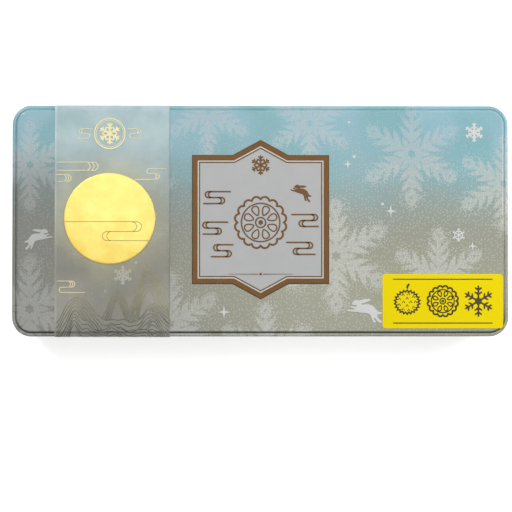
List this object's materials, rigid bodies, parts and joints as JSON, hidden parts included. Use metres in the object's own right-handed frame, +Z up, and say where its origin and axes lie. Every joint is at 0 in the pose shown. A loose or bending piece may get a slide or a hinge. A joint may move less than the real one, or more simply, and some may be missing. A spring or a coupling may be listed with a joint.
{
  "type": "shut mooncake gift tin",
  "caption": "Shut rectangular mooncake gift tin with a raised lid panel, an embossed plaque, a translucent sleeve with a gold foil disc, and a yellow label.",
  "frame": {"origin": "on the surface that the tin lies on, under the middle of the tin", "axes": "+Z up through the lid, +X along the tin towards the yellow label, +Y towards the edge that is printed blue"},
  "size_m": [0.3, 0.1406, 0.047],
  "materials": {
    "lacquered_tinplate": "satin lacquer over print",
    "vellum_film": "matte translucent",
    "gold_foil": "hot-stamped foil",
    "label_paper": "semi-gloss"
  },
  "bodies": {
    "root": {"tin_tray": "lacquered_tinplate", "tin_lid": "lacquered_tinplate", "vellum_sleeve": "vellum_film", "foil_disc": "gold_foil", "flavour_label": "label_paper"}
  },
  "joints": []
}
